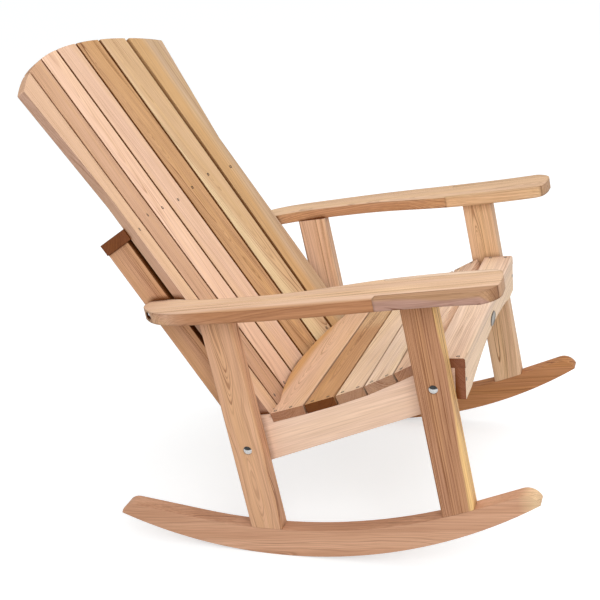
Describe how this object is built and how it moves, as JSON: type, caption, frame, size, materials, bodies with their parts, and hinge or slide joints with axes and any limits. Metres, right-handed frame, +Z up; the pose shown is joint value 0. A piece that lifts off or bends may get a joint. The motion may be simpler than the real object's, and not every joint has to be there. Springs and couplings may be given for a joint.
{
  "type": "porch rocking chair",
  "caption": "Cedar porch rocker with a scooped slatted seat, a fanned slatted back with an arched top, broad arms and curved rockers.",
  "frame": {"origin": "on the floor below the middle of the chair's bounding box", "axes": "+Z up, +X to the sitter's left, the sitter faces -Y"},
  "size_m": [0.778, 1.0261, 0.9645],
  "materials": {
    "left_rocker": "planed cedar, unfinished",
    "right_rocker": "planed cedar, unfinished",
    "left_front_leg": "planed cedar, unfinished",
    "right_front_leg": "planed cedar, unfinished",
    "left_rear_leg": "planed cedar, unfinished",
    "right_rear_leg": "planed cedar, unfinished",
    "left_side_rail": "planed cedar, unfinished",
    "right_side_rail": "planed cedar, unfinished",
    "seat_slat_1": "planed cedar, unfinished",
    "seat_slat_2": "planed cedar, unfinished",
    "seat_slat_3": "planed cedar, unfinished",
    "seat_slat_4": "planed cedar, unfinished",
    "seat_slat_5": "planed cedar, unfinished",
    "seat_slat_6": "planed cedar, unfinished",
    "front_apron": "planed cedar, unfinished",
    "right_back_slat_outer": "planed cedar, unfinished",
    "right_back_slat_middle": "planed cedar, unfinished",
    "right_back_slat_inner": "planed cedar, unfinished",
    "back_slat_centre": "planed cedar, unfinished",
    "left_back_slat_inner": "planed cedar, unfinished",
    "left_back_slat_middle": "planed cedar, unfinished",
    "left_back_slat_outer": "planed cedar, unfinished",
    "upper_back_rail": "planed cedar, unfinished",
    "lower_back_rail": "planed cedar, unfinished",
    "left_back_stile": "planed cedar, unfinished",
    "right_back_stile": "planed cedar, unfinished",
    "left_arm": "planed cedar, unfinished",
    "right_arm": "planed cedar, unfinished",
    "left_arm_outer_strip": "planed cedar, unfinished",
    "right_arm_outer_strip": "planed cedar, unfinished",
    "left_arm_inner_strip": "planed cedar, unfinished",
    "right_arm_inner_strip": "planed cedar, unfinished",
    "carriage_bolts": "bright plated steel",
    "bolt_washers": "bright plated steel",
    "bolt_nuts": "bright plated steel",
    "arm_bolts": "bright plated steel",
    "rocker_lag_screws": "bright plated steel"
  },
  "bodies": {
    "root": {"left_rocker": "left_rocker", "right_rocker": "right_rocker", "left_front_leg": "left_front_leg", "right_front_leg": "right_front_leg", "left_rear_leg": "left_rear_leg", "right_rear_leg": "right_rear_leg", "left_side_rail": "left_side_rail", "right_side_rail": "right_side_rail", "seat_slat_1": "seat_slat_1", "seat_slat_2": "seat_slat_2", "seat_slat_3": "seat_slat_3", "seat_slat_4": "seat_slat_4", "seat_slat_5": "seat_slat_5", "seat_slat_6": "seat_slat_6", "front_apron": "front_apron", "right_back_slat_outer": "right_back_slat_outer", "right_back_slat_middle": "right_back_slat_middle", "right_back_slat_inner": "right_back_slat_inner", "back_slat_centre": "back_slat_centre", "left_back_slat_inner": "left_back_slat_inner", "left_back_slat_middle": "left_back_slat_middle", "left_back_slat_outer": "left_back_slat_outer", "upper_back_rail": "upper_back_rail", "lower_back_rail": "lower_back_rail", "left_back_stile": "left_back_stile", "right_back_stile": "right_back_stile", "left_arm": "left_arm", "right_arm": "right_arm", "left_arm_outer_strip": "left_arm_outer_strip", "right_arm_outer_strip": "right_arm_outer_strip", "left_arm_inner_strip": "left_arm_inner_strip", "right_arm_inner_strip": "right_arm_inner_strip", "carriage_bolts": "carriage_bolts", "bolt_washers": "bolt_washers", "bolt_nuts": "bolt_nuts", "arm_bolts": "arm_bolts", "rocker_lag_screws": "rocker_lag_screws"}
  },
  "joints": []
}
